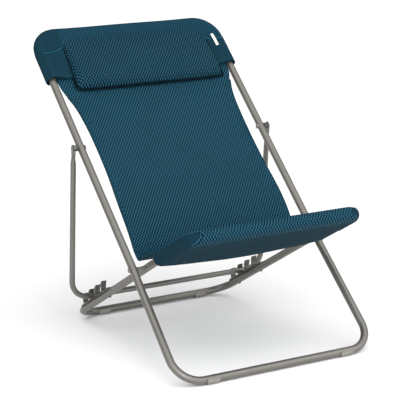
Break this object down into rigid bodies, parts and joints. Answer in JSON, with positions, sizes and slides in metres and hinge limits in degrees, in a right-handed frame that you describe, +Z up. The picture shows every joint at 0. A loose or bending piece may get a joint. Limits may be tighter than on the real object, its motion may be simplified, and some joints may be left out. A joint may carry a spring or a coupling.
{
  "type": "folding beach chair",
  "caption": "Low folding beach chair: crossed rounded tube loops, a prop bar that drops into toothed racks, a padded mesh sling and a headrest pillow.",
  "frame": {"origin": "centre of the footprint box on the floor", "axes": "+Z up, the sitter faces -Y, +X is the sitter's right-hand side seen from the front"},
  "size_m": [0.6104, 0.8329, 0.7907],
  "materials": {
    "tube_paint": "satin",
    "plastic_pad": "matte",
    "rack_grey": "satin",
    "steel": "satin",
    "dark_washer": "matte",
    "padded_mesh": "woven",
    "plain_cloth": "plain weave",
    "tag_cloth": "plain weave"
  },
  "bodies": {
    "back_frame": {"back_tube": "tube_paint", "back_tube_sleeve": "steel", "front_foot_left": "plastic_pad", "front_foot_right": "plastic_pad", "seat_pivot_bolts": "steel", "seat_pivot_spacers": "steel", "seat_pivot_nuts": "steel", "prop_pivot_bolts": "steel", "prop_pivot_washers": "dark_washer", "prop_pivot_nuts": "steel", "sling_back": "padded_mesh", "binding_left": "plain_cloth", "binding_right": "plain_cloth", "hood": "padded_mesh", "headrest_pillow": "padded_mesh", "hood_tag": "tag_cloth"},
    "seat_frame": {"seat_tube": "tube_paint", "seat_tube_sleeve": "steel", "rear_foot_left": "plastic_pad", "rear_foot_right": "plastic_pad", "rack_left": "rack_grey", "rack_right": "rack_grey", "rack_rivets": "steel", "sling_seat": "padded_mesh", "seat_pocket": "plain_cloth"},
    "prop": {"prop_tube": "tube_paint"}
  },
  "joints": [
    {"name": "seat_fold", "type": "hinge", "parent": "back_frame", "child": "seat_frame", "pos_m": [0, -0.15924, 0.2437], "axis": [-1, 0, 0], "range_deg": [0, 98]},
    {"name": "prop_swing", "type": "hinge", "parent": "back_frame", "child": "prop", "pos_m": [0, 0.12322, 0.51175], "axis": [-1, 0, 0], "range_deg": [0, 49]}
  ],
  "couplings": [
    {"joint": "prop_swing", "follows": "seat_fold", "ratio": 0.5}
  ]
}
